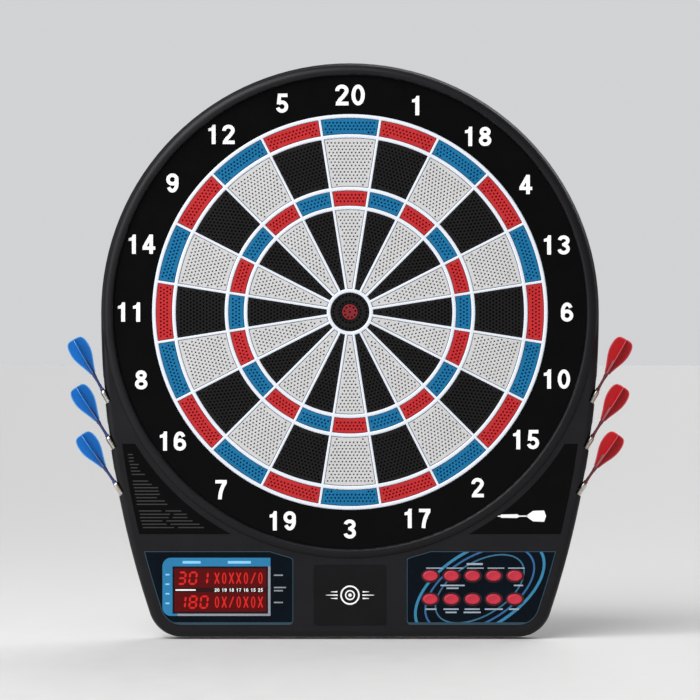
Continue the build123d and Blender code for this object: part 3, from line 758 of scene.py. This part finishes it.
# ---------- display
WINDOW = (-175.5, -82.5, -299.0, -254.0)
WINDOW_FRONT = 32.5
FIGURE_HEIGHT = 11.4     # lit figures in the display
FIGURE_WIDTH = 6.6
FIGURE_STEP = 11.0
TALLY_WIDTH = 4.4
TALLY_STEP = 7.2
FIGURE_STROKE = 2.0
FIGURE_GAP = 0.35        # between the ends of two bars
FIGURE_LEAN = 0.1
TALLY_STROKE = 1.4
ROW_REACH = 20.2         # from the window's edge to the far side of a lit row
LIT = 0.14               # height of a lit shape over the window
SEGMENTS_OF = {"0": "abcdef", "1": "bc", "3": "abgcd", "8": "abcdefg"}      # the scores' figures


def bar(start, end, width):
    """A display segment: a bar with pointed ends."""
    a, b = Vector(start), Vector(end)
    along = (b - a).normalized()
    across = Vector((-along.y, along.x)) * width / 2
    tip = along * width / 2
    return [tuple(p) for p in (a, a + tip + across, b - tip + across, b, b - tip - across, a + tip - across)]


def digit_bars(character, x, y):
    """The lit bars of one seven-segment figure whose lower left corner is given."""
    width, height = FIGURE_WIDTH, FIGURE_HEIGHT
    corners = {"tl": (0, height), "tr": (width, height), "ml": (0, height / 2), "mr": (width, height / 2),
               "bl": (0, 0), "br": (width, 0)}
    ends = {"a": ("tl", "tr"), "b": ("mr", "tr"), "c": ("br", "mr"), "d": ("bl", "br"), "e": ("bl", "ml"),
            "f": ("ml", "tl"), "g": ("ml", "mr")}
    bars = []
    for name in SEGMENTS_OF[character]:
        a, b = (Vector(corners[key]) for key in ends[name])
        along = (b - a).normalized() * FIGURE_GAP
        outline = bar(a + along, b - along, FIGURE_STROKE)
        bars.append([(x + px + py * FIGURE_LEAN, y + py) for px, py in outline])
    return bars


def add_tally(build, x, base, kind):
    """A lit tally figure: one stroke, a cross or a ring."""
    width, height, low, high = TALLY_WIDTH, FIGURE_HEIGHT, WINDOW_FRONT, WINDOW_FRONT + LIT
    if kind == "ring":
        centre = (x + width / 2, base + height / 2)
        outer, inner = ellipse(width / 2, height / 2, 28, centre), ellipse(0.9, height / 2 - 1.3, 28, centre)
        flat_ring(build, outer, inner, low, high)
        return
    build.prism(bar((x, base), (x + width, base + height), TALLY_STROKE), low, high)
    if kind == "cross":
        build.prism(bar((x, base + height), (x + width, base), TALLY_STROKE), low, high - 0.02)


# tally figures in each score row, from the left
TALLY_TOP = ("cross", "ring", "cross", "cross", "ring", "stroke", "ring")
TALLY_BOTTOM = ("ring", "cross", "stroke", "ring", "cross", "ring", "cross")


def build_display():
    """The lit face behind the smoked window, in two score rows with a printed row between them."""
    left, right, bottom, top = WINDOW
    face = WINDOW_FRONT
    rows = Build()
    for low, high in ((bottom + 1.0, bottom + ROW_REACH), (top - ROW_REACH, top - 1.0)):
        rows.prism(rounded_box(left + 1.0, right - 1.0, low, high, 0.8, 3), face - 0.05, face + 0.05)
    rows.make("display_rows", "board", "display_light", DISPLAY_DIM, 0)
    lit = Build()
    for base, score, tally in ((top - 16.4, "301", TALLY_TOP), (bottom + 4.8, "180", TALLY_BOTTOM)):
        for i, character in enumerate(score):
            for shape in digit_bars(character, left + 4.5 + FIGURE_STEP * i, base):
                lit.prism(shape, face, face + LIT)
        for i, kind in enumerate(tally):
            add_tally(lit, left + 41.0 + TALLY_STEP * i, base, kind)
    lit.make("display_figures", "board", "display_light", DISPLAY_LIT, 0)
    words = Build()
    middle = (top + bottom) / 2
    dash(words, left + 2.0, middle - 0.7, 20.0, 1.4, face)
    for i, text in enumerate(("20", "19", "18", "17", "16", "15", "25")):
        add_number(words, text, (left + 43.2 + TALLY_STEP * i, middle), 3.4, face - 0.05, face + 0.08)
    words.printed("display_row_numbers", "print_white", "white")


def build_display_print():
    """The printed frame round the window, the painted highlight along the panel's edge and the short marks
    beside it.
    """
    left, right, bottom, top = WINDOW
    outer_right, outer_bottom, outer_top = right + 3.4, bottom - 3.2, top + 9.6
    corner = 8.5
    corner_x = left - 11.0 + corner
    frame_shape = [(outer_right, outer_bottom), (outer_right, outer_top)]
    frame_shape += arc((corner_x, outer_top - corner), corner, corner, 90, 180, 10)
    frame_shape += arc((corner_x, outer_bottom + corner), corner, corner, 180, 270, 10)
    hole = box_outline(left - 1.0, bottom - 1.0, right + 1.0, top + 1.0)
    blue = Build()
    flat_ring(blue, frame_shape, hole, *printed_at(FACE))
    blue.printed("display_frame_print", "overlay_film", "bright_blue")
    line = Build()
    for shape in (box_outline(right + 1.0, outer_bottom, outer_right, top + 1.0),
                  box_outline(left + 4.0, outer_bottom, right + 1.0, bottom - 1.0)):
        line.prism(shape, FACE, FACE + 1.6 * PRINT)
    line.printed("display_edge_line", "print_white", "silver")
    marks = Build()
    for x, length in ((left + 9, 18), (left + 54, 23)):
        dash(marks, x, top + 3.8, length, 2.6, FACE + PRINT)
    for i in range(4):
        dash(marks, left - 8.0, top - 8 - 9.5 * i, 4.0, 1.6, FACE + PRINT)
    marks.printed("display_frame_marks", "print_white", "light_blue")
    side_marks = Build()
    for y, length in ((-262.4, 9.0), (-274.6, 12.0), (-277.8, 9.0), (-289.5, 9.0)):
        dash(side_marks, right + 6.8, y, length, 1.3, FACE)
    side_marks.printed("display_panel_marks", "print_white", "silver")
    build_panel_border("display", -1)


def build_panel_border(name, side):
    """Painted highlight along an overlay's raised edge: a thin line round it, thicker along the bottom."""
    outer, inner = panel_outline(side, 0.4), panel_outline(side, 1.2)
    foot = PANEL_INSET - HOUSING_BOTTOM + 3.0

    def keep(p):
        return inside(p, outer) and (p[1] < foot or not inside(p, inner))
    line = [(side * 40, foot), (side * 240, foot), (side * 240, foot - 0.01), (side * 40, foot - 0.01)]
    highlight = Build()
    # painted highlight: a lighter line along the overlay's edges, wider along its bottom edge
    flat_mark(highlight, [outer, inner, line], keep, FACE - PRINT, FACE + 1.5 * PRINT)
    highlight.printed(f"{name}_panel_highlight", "overlay_film", "edge_highlight_blue")


# ---------- keys
KEY_COLUMNS = [80.0 + 21.0 * i for i in range(5)]
KEY_ROWS = (-262.4, -285.6)
KEY_PLACES = [(x, y) for y in KEY_ROWS for x in KEY_COLUMNS]
SWIRL_CENTRE = (129.0, -275.3)
SWIRL_TILT = math.radians(31.3)
SWIRLS = [(49.0, 26.3, 1.5), (60.2, 32.4, 1.9), (71.2, 38.3, 2.8)]      # half axes and width


def build_key_print():
    """Tilted rings behind the keys, the painted highlight along the panel's edge and short marks for the
    keys' names.
    """
    panel = panel_outline(1, 1.2)
    holes = [ellipse(9.3, 6.9, 32, at) for at in KEY_PLACES]
    for number, (a, b, width) in enumerate(SWIRLS, start=1):
        outer = ellipse(a + width / 2, b + width / 2, 120, SWIRL_CENTRE, SWIRL_TILT)
        inner = ellipse(a - width / 2, b - width / 2, 120, SWIRL_CENTRE, SWIRL_TILT)

        def keep(p, outer=outer, inner=inner):
            if not inside(p, outer) or inside(p, inner) or not inside(p, panel):
                return False
            return not any(inside(p, hole) for hole in holes)
        swirl = Build()
        flat_mark(swirl, [outer, inner, panel] + holes, keep, *printed_at(FACE))
        swirl.printed(f"key_panel_ring_{number}", "overlay_film", f"swirl_{number}")
    build_panel_border("key", 1)
    marks = Build()
    for column in range(5):
        dash(marks, 75.6 + 20.4 * column, -255.2, 16.6, 1.0, FACE + PRINT)
    dash(marks, 116.0, -251.6, 16.0, 1.9, FACE + PRINT)
    for x, y, length in ((90, -272.6, 24), (96, -275.4, 12), (163, -272.6, 9), (75, -296.2, 11),
                         (93, -296.2, 15), (95, -299.4, 11), (114, -296.2, 15), (113, -299.4, 17),
                         (134, -296.2, 18), (158, -296.2, 10)):
        dash(marks, x, y, length, 1.4, FACE + PRINT)
    marks.printed("key_panel_marks", "print_white", "pale")


KEY_RX = 7.6
KEY_RY = 5.2
KEY_PROFILE = [          # scale, depth and extra width of each row: flange, wall, shoulder, dish
    (1.0, 28.0, 1.3), (1.0, 29.3, 1.3), (1.0, 29.4, 0.0), (1.0, 33.2, 0.0), (0.985, 33.7, 0.0),
    (0.95, 34.2, 0.0), (0.88, 34.5, 0.0), (0.78, 34.6, 0.0), (0.62, 34.5, 0.0), (0.40, 34.35, 0.0),
    (0.18, 34.25, 0.0)]


def build_keys():
    """Ten rubber keys with a soft shoulder and a shallow dish for the fingertip."""
    for i, (x, y) in enumerate(KEY_PLACES, start=1):
        build = Build()
        rows = [build.ring(ellipse(KEY_RX * s + grow, KEY_RY * s + grow, 48, (x, y)), d)
                for s, d, grow in KEY_PROFILE]
        for a, b in zip(rows, rows[1:]):
            build.bridge(a, b)
        build.cap(rows[0])
        build.cap(rows[-1])
        build.make(f"key_{i:02d}_rubber", f"key_{i:02d}", "button_rubber", KEY_RED, 40,
                   (f"button_{i:02d}",))
        # painted glow: a dark red ring round each key stands for the red glow round it
        ring = Build()
        flat_ring(ring, ellipse(9.1, 6.7, 40, (x, y)), ellipse(8.15, 5.75, 40, (x, y)),
                  *printed_at(FACE))
        ring.printed(f"key_{i:02d}_painted_glow", "overlay_film", "key_painted_glow")


# ---------- badge and corner labels
BADGE_CENTRE = (0.0, -281.5)
BADGE_FRONT = 33.5
LABEL_FRONT = LABEL_FLOOR + 0.3
RULED_LINE = 1.1         # height of a ruled line
RULED_STEP = 3.3
RULED_BLOCK = 9          # the last row in each block is left empty
DART_MARK_Y = -203.0
DART_MARK = [            # the pictogram's outlines: tip, barrel, shaft and flight
    [(150, -0.6), (150, 0.6), (140, 0)],
    [(150, -1.6), (166, -1.9), (168, -0.9), (168, 0.9), (166, 1.9), (150, 1.6)],
    [(168, -0.6), (177, -0.6), (177, 0.6), (168, 0.6)],
    [(176, -0.9), (182, -5.2), (193, -5.6), (195, 0), (193, 5.6), (182, 5.2), (176, 0.9)],
]


def build_badge():
    """A plain emblem: two rings, a dot and a pair of tapering bars."""
    cx, cy = BADGE_CENTRE
    low, high = printed_at(BADGE_FRONT)
    build = Build()
    for radius, width in ((9.6, 1.5), (5.0, 1.3)):
        flat_ring(build, circle(radius, 60, (cx, cy)), circle(radius - width, 60, (cx, cy)), low, high)
    build.prism(circle(1.7, 28, (cx, cy)), low, high)
    for side in (-1, 1):
        for y, start, reach in ((2.6, 12.6, 19.0), (-0.7, 12.2, 24.0), (-4.0, 12.6, 19.0)):
            corners = ((start, 0), (reach, 0.5), (reach, 0.9), (start, 1.4))
            build.prism([(cx + side * x, cy + y + rise) for x, rise in corners], low, high)
    build.printed("badge_emblem", "print_white", "white")


def build_corner_labels():
    """Dark sunk labels: ruled lines on the left and a dart pictogram on the right."""
    for side, name in ((-1, "left"), (1, "right")):
        plate = Build()
        plate.prism(label_outline(side, 0.25), LABEL_FLOOR - 0.05, LABEL_FRONT)
        plate.make(f"corner_label_{name}", "board", "overlay_film", LABEL_BLACK, 0)
    lines = Build()
    add_ruled_lines(lines)
    lines.printed("corner_label_lines", "badge_plastic", "grey")
    dart = Build()
    for shape in DART_MARK:
        dart.prism([(x, DART_MARK_Y + y) for x, y in shape], *printed_at(LABEL_FRONT))
    dart.printed("corner_label_dart", "print_white", "white")


def add_ruled_lines(build):
    """Rows of uneven bars that fill the left label, with an empty row now and then."""
    area = label_outline(-1, 4.0)
    y = LABEL_TOP - 8
    count = 0
    while y > LABEL_BOTTOM + 4:
        xs = [x for x in range(-225, -110) if inside((x, y), area) and inside((x, y + 1.2), area)]
        if len(xs) > 8 and (count + 1) % RULED_BLOCK:
            left, right = xs[0], xs[-1]
            split = left + 26 + 5 * math.sin(count * 1.7)
            end = right - 4 - 5 * abs(math.sin(count * 2.3))
            dash(build, left, y, max(5.0, min(split, end) - left), RULED_LINE, LABEL_FRONT)
            if end - split > 12:
                dash(build, split + 4, y, end - split - 4, RULED_LINE, LABEL_FRONT)
        y -= RULED_STEP
        count += 1


# ---------- darts
TIP_LENGTH = 25.0
BARREL_LENGTH = 50.0
SHAFT_SHOWN = 20.0
FLIGHT_LENGTH = 39.0
FLIGHT_HALF = 10.5
FLIGHT_START = 2.8
FLIGHT_RIM = 1.1         # width of the raised edge
VANE_ROOT = 0.35
BARREL_R = 3.3
GROOVE_STEP = 1.1
GROOVE_DEPTHS = (0.34, 0.12)     # in every other band
GRIP_BAND = 9.0
TIP_PROFILE = [(0.0, 0.5), (1.0, 0.75), (16.0, 0.95), (21.0, 1.1), (23.0, 2.0), (TIP_LENGTH, 2.2)]


def tip_end(node, axis):
    """The end of a dart's tip, in metres, from the CAD node."""
    points = [v.co for v in frame["nodes"][node].data.vertices]
    low = min(p.dot(axis) for p in points)
    end = [p for p in points if p.dot(axis) < low + 0.0002]
    return sum(end, Vector()) / len(end)


def lathe(name, body, material, matrix, profile, count, smooth):
    """A turned part of a dart. profile holds (distance along its axis, radius) in millimetres."""
    points, faces = [], []
    for s, r in profile:
        for i in range(count):
            a = 2 * math.pi * i / count
            points.append(matrix @ (Vector((s, r * math.cos(a), r * math.sin(a))) * MM))
    for k in range(len(profile) - 1):
        for i in range(count):
            j = (i + 1) % count
            faces.append((k * count + i, k * count + j, (k + 1) * count + j, (k + 1) * count + i))
    faces.append(tuple(range(count))[::-1])
    faces.append(tuple(range((len(profile) - 1) * count, len(profile) * count)))
    closed_piece(name, points, faces, body, material, smooth, (body,))


def barrel_profile():
    """Grip bands with fine rings between plain collars."""
    profile = [(TIP_LENGTH - 0.2, 2.2), (TIP_LENGTH, 2.6), (TIP_LENGTH + 2.5, 3.1)]
    s = TIP_LENGTH + 4.0
    end = TIP_LENGTH + BARREL_LENGTH
    while s < end - 6.0:
        floor = BARREL_R - GROOVE_DEPTHS[int((s - TIP_LENGTH) / GRIP_BAND) % 2]
        profile += [(s, BARREL_R), (s + 0.5, BARREL_R), (s + 0.65, floor), (s + 0.95, floor)]
        s += GROOVE_STEP
    profile += [(end - 5.5, BARREL_R), (end - 2.0, BARREL_R), (end - 0.8, 2.9), (end - 0.3, 2.7), (end, 2.4)]
    return profile


def shaft_profile():
    start = TIP_LENGTH + BARREL_LENGTH - 0.2
    end = start + SHAFT_SHOWN
    return [(start, 1.9), (start + 0.6, 2.1), (start + 2.4, 2.1), (start + 3.0, 1.55), (start + 9.0, 1.35),
            (end - 6.0, 1.45), (end - 3.0, 1.9), (end + 1.0, 2.05), (end + 14.0, 1.9), (end + 15.0, 1.5)]


def flight_edge():
    """Points (distance along the flight, half width): slim, then full, then rounded off."""
    full = (0.68 * FLIGHT_LENGTH, FLIGHT_HALF)
    end = (FLIGHT_LENGTH, 0.3 * FLIGHT_HALF)
    curves = [((0, FLIGHT_START), (0.26 * FLIGHT_LENGTH, 0.5 * FLIGHT_HALF),
               (0.44 * FLIGHT_LENGTH, FLIGHT_HALF), full),
              (full, (0.86 * FLIGHT_LENGTH, FLIGHT_HALF), (FLIGHT_LENGTH, 0.9 * FLIGHT_HALF), end)]
    points = []
    for curve in curves:
        points += [tuple(p[:2]) for p in interpolate_bezier(*[Vector(c) for c in curve], 17)]
    return points


def build_flight(name, body, colours, matrix):
    """Four thin vanes with a raised welded edge."""
    start = TIP_LENGTH + BARREL_LENGTH + SHAFT_SHOWN
    edge = flight_edge()
    for part, material, thick in (("edge", colours[0], 0.36), ("vanes", colours[1], 0.22)):
        points, faces = [], []
        for quarter in range(4):
            turn = Matrix.Rotation(quarter * math.pi / 2, 4, "X")
            for s, w in edge:
                outer = w if part == "edge" else w - FLIGHT_RIM
                inner = w - FLIGHT_RIM if part == "edge" and s < FLIGHT_LENGTH - FLIGHT_RIM else VANE_ROOT
                for r, z in ((inner, -thick), (outer, -thick), (outer, thick), (inner, thick)):
                    points.append(matrix @ turn @ (Vector((start + s, r, z)) * MM))
            base = quarter * 4 * len(edge)
            last = base + 4 * (len(edge) - 1)
            for a in range(base, last, 4):
                for i in range(4):
                    j = (i + 1) % 4
                    faces.append((a + i, a + j, a + 4 + j, a + 4 + i))
            faces.append((base + 3, base + 2, base + 1, base))
            faces.append((last, last + 1, last + 2, last + 3))
        closed_piece(f"{name}_{part}", points, faces, body, material, 30, (body,))


def build_darts():
    """Three blue darts and three red ones in the racks, each drawn along its own joint's axis."""
    joints = {j["child"]: j for j in frame["joints"]}
    for colour, flight in FLIGHTS.items():
        for i in (1, 2, 3):
            node = f"dart_{colour}_{i}"
            axis = Vector(joints[node]["axis"])
            across = Vector((0, 1, 0)).cross(axis)
            matrix = Matrix((axis, across, Vector((0, 1, 0)))).transposed().to_4x4()
            matrix.translation = tip_end(node, axis)
            lathe(f"{node}_tip", node, TIP_PLASTIC, matrix, TIP_PROFILE, 20, 40)
            lathe(f"{node}_barrel", node, BARREL_METAL, matrix, barrel_profile(), 40, 30)
            lathe(f"{node}_shaft", node, SHAFTS[colour], matrix, shaft_profile(), 24, 35)
            build_flight(f"{node}_flight", node, flight, matrix)


# ---------- rear label
REAR_LABEL = (84.0, 50.0)        # width and height of the label in the back cover's recess
REAR_LABEL_D = (0.5, 0.8)        # from its face to the recess's floor
REAR_LINE_STEP = 4.4
REAR_LINES = [58, 40, 0, 70, 66, 70, 52, 0, 34, 46]      # lengths; 0 leaves a row empty


def build_rear_label():
    """A plain film label sunk in the back, with ruled lines and one box in place of its text."""
    width, height = REAR_LABEL
    face, floor = REAR_LABEL_D
    film = Build()
    film.prism(rounded_box(-width / 2, width / 2, -height / 2, height / 2, 3), face, floor)
    film.make("rear_label", "board", "badge_plastic", LABEL_SILVER)
    marks = Build()
    start, top = width / 2 - 6, height / 2 - 5
    for row, length in enumerate(REAR_LINES):
        if length:
            y = top - row * REAR_LINE_STEP
            marks.prism(rounded_box(start - length, start, y - 0.55, y + 0.55, 0.3, 2), face - PRINT, face)
    marks.prism(rounded_box(-start, -start + 14, -top, -top + 9, 1, 2), face - PRINT, face)
    marks.make("rear_label_print", "board", "black_plastic", BLACK_PLASTIC, 0)


# ---------- CAD nodes that stay visible
def dress_frame():
    """Gives every CAD node its procedural material."""
    dress = {
        "front_housing": HOUSING, "rear_cover": COVER, "number_ring": RING_BLACK, "scoring_web": WEB,
        "rubber_sheet": DARK_RUBBER, "switch_membrane": FILM, "foam_pad": DARK_RUBBER,
        "backing_board": HARDBOARD, "display_overlay": NAVY, "key_overlay": NAVY,
        "display_window": SMOKED, "display_module": BLACK_PLASTIC, "display_board": SOLDER_MASK,
        "key_board": SOLDER_MASK, "main_board": SOLDER_MASK, "speaker": STEEL,
        "power_inlet": BLACK_PLASTIC, "centre_badge": BADGE_GREY, "flat_cables": FILM,
        "cover_screws": STEEL, "inner_screws": STEEL, "dart_sockets": BLACK_PLASTIC,
    }
    for name, node in frame["nodes"].items():
        if name in dress:
            node.data.materials.clear()
            node.data.materials.append(dress[name])


def circle_through(a, b, c):
    """Centre and radius of the circle through three points."""
    (ax, ay), (bx, by), (cx, cy) = a, b, c
    twice = 2 * (ax * (by - cy) + bx * (cy - ay) + cx * (ay - by))
    aa, bb, cc = ax * ax + ay * ay, bx * bx + by * by, cx * cx + cy * cy
    x = (aa * (by - cy) + bb * (cy - ay) + cc * (ay - by)) / twice
    y = (aa * (cx - bx) + bb * (ax - cx) + cc * (bx - ax)) / twice
    return x, y, math.dist(a, (x, y))


def shade_ridge():
    """Gives the housing's round ridge the true normals of its arcs, so that its facets don't show."""
    mesh = frame["nodes"]["front_housing"].data
    normals = [corner.vector.copy() for corner in mesh.corner_normals]
    spots = [(math.hypot(v.co.x, v.co.z) / MM, -v.co.y / MM) for v in mesh.vertices]
    for arc_points in RIDGE_ARCS:
        at, height, radius = circle_through(*arc_points)
        low, high = arc_points[0][0] - GRIP, arc_points[2][0] + GRIP
        on_arc = {i for i, (r, d) in enumerate(spots)
                  if low < r < high and abs(math.dist((r, d), (at, height)) - radius) < GRIP}
        for face in mesh.polygons:
            if all(v in on_arc for v in face.vertices):
                for corner, vertex in zip(face.loop_indices, face.vertices):
                    co = mesh.vertices[vertex].co
                    r, d = spots[vertex]
                    outward = Vector((co.x, 0, co.z)).normalized() * (r - at)
                    normals[corner] = (outward + Vector((0, height - d, 0))).normalized()
    mesh.normals_split_custom_set(normals)


# ---------- camera and light
CAMERA_DISTANCE = 3.4


def add_lamp(name, kind, at, target, energy):
    """A lamp at a point, aimed at a target."""
    lamp = bpy.data.lights.new(name, kind)
    lamp.energy = energy
    thing = add_object(name, lamp)
    thing.location = at
    thing.rotation_euler = (Vector(target) - Vector(at)).to_track_quat("-Z", "Y").to_euler()
    return lamp


def build_world():
    """Dim surroundings that light the board, seen by the camera as a pale backdrop."""
    world = bpy.data.worlds.new("studio")
    world.use_nodes = True
    tree = world.node_tree
    seen = tree.nodes["Background"]
    seen.inputs["Color"].default_value = (0.80, 0.81, 0.83, 1)
    path = tree.nodes.new("ShaderNodeLightPath")
    level = add_node(tree, "ShaderNodeMapRange", To_Min=0.32, To_Max=0.80)
    tree.links.new(path.outputs["Is Camera Ray"], level.inputs["Value"])
    tree.links.new(level.outputs["Result"], seen.inputs["Strength"])
    bpy.context.scene.world = world
    bpy.context.scene.view_settings.view_transform = "Standard"


def build_stage():
    """A pale floor, soft light and the camera that looks squarely at the playing face."""
    middle = (cad_low + cad_high) / 2
    floor_mesh = bpy.data.meshes.new("floor")
    corners = [(x, y, cad_low.z - 0.002) for x, y in box_outline(-60, -60, 60, 60)]
    floor_mesh.from_pydata(corners, [], [(0, 1, 2, 3)])
    floor_mesh.materials.append(plastic("floor_paint", rgb(206, 206, 205), (0.6, 0.75), 300.0, 0.1, 0.02))
    floor = add_object("floor", floor_mesh)
    build_world()
    for name, at, strength in (("key", (-0.9, -1.5, 1.5), 2.6), ("rear", (0.9, 1.6, 1.3), 1.3)):
        add_lamp(name, "SUN", at, middle, strength).angle = math.radians(50)
    for name, at, size, power in (("side", (-1.5, -0.9, 0.5), (0.5, 1.4), 9),
                                  ("top", (-0.9, -0.45, 1.3), (0.9, 0.4), 8)):
        lamp = add_lamp(name, "AREA", at, middle, power)
        lamp.shape = "RECTANGLE"
        lamp.size, lamp.size_y = size
    camera_data = bpy.data.cameras.new("camera")
    camera_data.lens = 176
    camera_data.sensor_width = 36
    camera = add_object("camera", camera_data)
    camera.location = (middle.x, cad_low.y - CAMERA_DISTANCE, middle.z)
    camera.rotation_euler = (math.radians(90), 0, 0)
    bpy.context.scene.camera = camera


dress_frame()
shade_ridge()
build_segments()
build_bulls()
build_web()
build_numbers()
build_display()
build_display_print()
build_key_print()
build_keys()
build_badge()
build_corner_labels()
build_darts()
build_rear_label()
build_stage()
